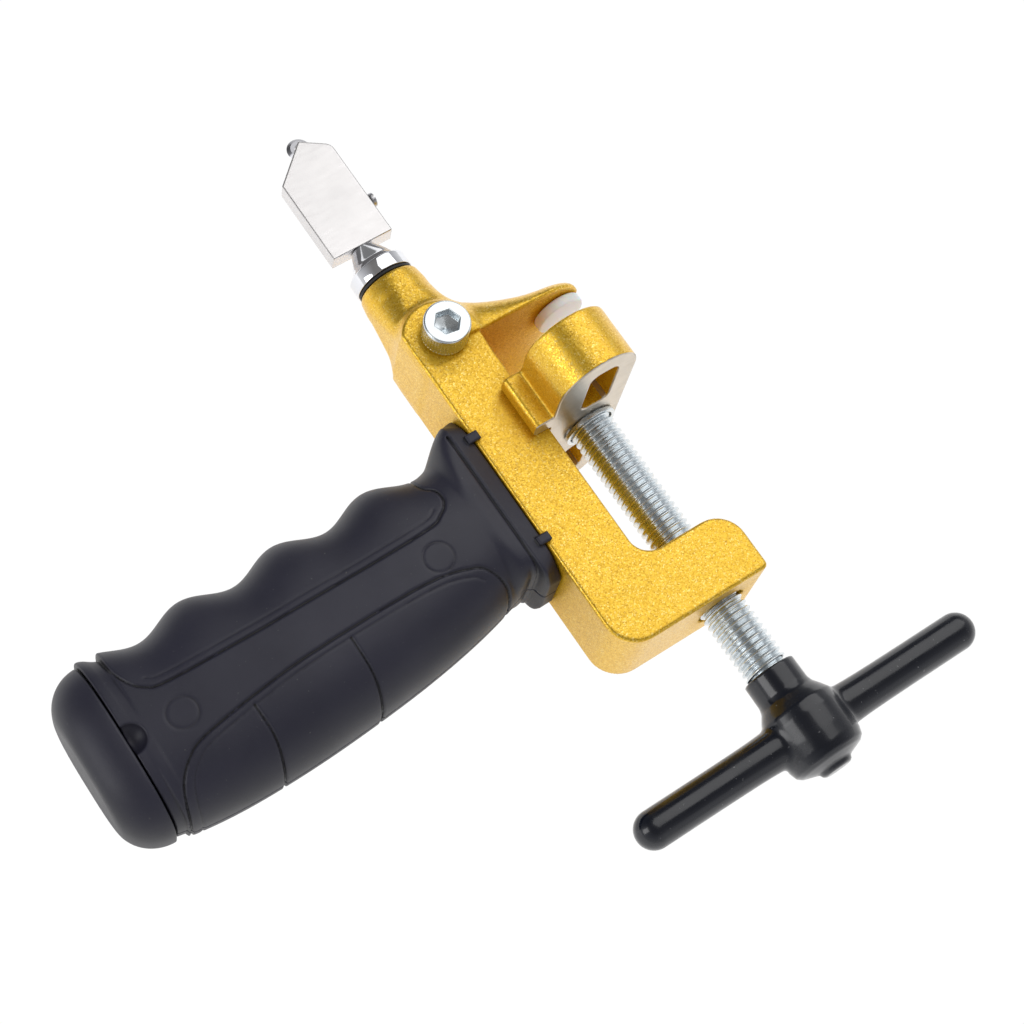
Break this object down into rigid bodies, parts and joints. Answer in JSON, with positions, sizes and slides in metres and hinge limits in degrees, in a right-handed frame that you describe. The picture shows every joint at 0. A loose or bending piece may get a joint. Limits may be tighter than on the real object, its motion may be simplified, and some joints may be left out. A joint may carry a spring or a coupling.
{
  "type": "glass cutter",
  "caption": "Hand-held glass and tile cutter: pistol grip on a cast C-frame, swivelling wheel head on a stem, and a breaking jaw driven by a T-handled screw.",
  "frame": {"origin": "centre of the bounding box's bottom face, with the tool lying on its back", "axes": "+X away from the grip, +Y along the spine towards the cutting wheel, +Z out of the front face"},
  "size_m": [0.171, 0.1788, 0.062],
  "materials": {
    "gold_frame": "gold glitter paint on a casting",
    "gold_jaw": "gold glitter paint, bare machined underside",
    "grip_black": "black moulded plastic, fine texture",
    "vinyl_black": "glossy black dipped vinyl",
    "zinc": "bright zinc plate",
    "chrome": "mirror chrome plate",
    "nickel": "satin nickel plate",
    "carbide": "ground carbide",
    "nylon": "white moulded nylon",
    "rubber": "black rubber",
    "steel": "plain turned steel"
  },
  "bodies": {
    "frame": {"frame": "gold_frame", "nylon_pad": "nylon", "grip_shell_front": "grip_black", "grip_shell_back": "grip_black", "grip_screw_upper": "steel", "grip_screw_lower": "steel"},
    "end_cap": {"end_cap": "grip_black"},
    "jaw": {"moving_jaw": "gold_jaw", "thrust_washer": "zinc", "retaining_clip": "steel"},
    "clamp_screw": {"clamp_screw": "zinc", "handle_hub": "steel", "t_bar": "steel", "vinyl_sleeve": "vinyl_black"},
    "stem": {"cutter_stem": "chrome", "stem_ring": "rubber"},
    "head": {"cutter_head": "nickel", "head_lock_screw": "nickel", "wheel_axle": "steel"},
    "wheel": {"cutter_wheel": "carbide"},
    "lock_screw": {"stem_lock_screw": "zinc"}
  },
  "joints": [
    {"name": "jaw_slide", "type": "slide", "parent": "frame", "child": "jaw", "axis": [0, 1, 0], "range_m": [-0.03, 0.0108]},
    {"name": "screw_turn", "type": "hinge", "parent": "jaw", "child": "clamp_screw", "pos_m": [0.042, -0.0484, 0.031], "axis": [0, 1, 0], "range_deg": [-7210, 2600]},
    {"name": "stem_slide", "type": "slide", "parent": "frame", "child": "stem", "axis": [0, 1, 0], "range_m": [0, 0.014]},
    {"name": "head_swivel", "type": "hinge", "parent": "stem", "child": "head", "pos_m": [0.0231, 0.059, 0.031], "axis": [0, 1, 0], "range_deg": [-180, 180]},
    {"name": "wheel_spin", "type": "hinge", "parent": "head", "child": "wheel", "pos_m": [0.0245, 0.0867, 0.031], "axis": [0, 0, 1], "continuous": true},
    {"name": "lock_screw_turn", "type": "hinge", "parent": "frame", "child": "lock_screw", "pos_m": [0.0231, 0.0288, 0.0418], "axis": [0, 0, 1], "range_deg": [0, 1080]},
    {"name": "cap_pull", "type": "slide", "parent": "frame", "child": "end_cap", "axis": [-1, 0, 0], "range_m": [0, 0.016]}
  ],
  "couplings": [
    {"joint": "screw_turn", "follows": "jaw_slide", "rad_per_m": 4188.8}
  ]
}
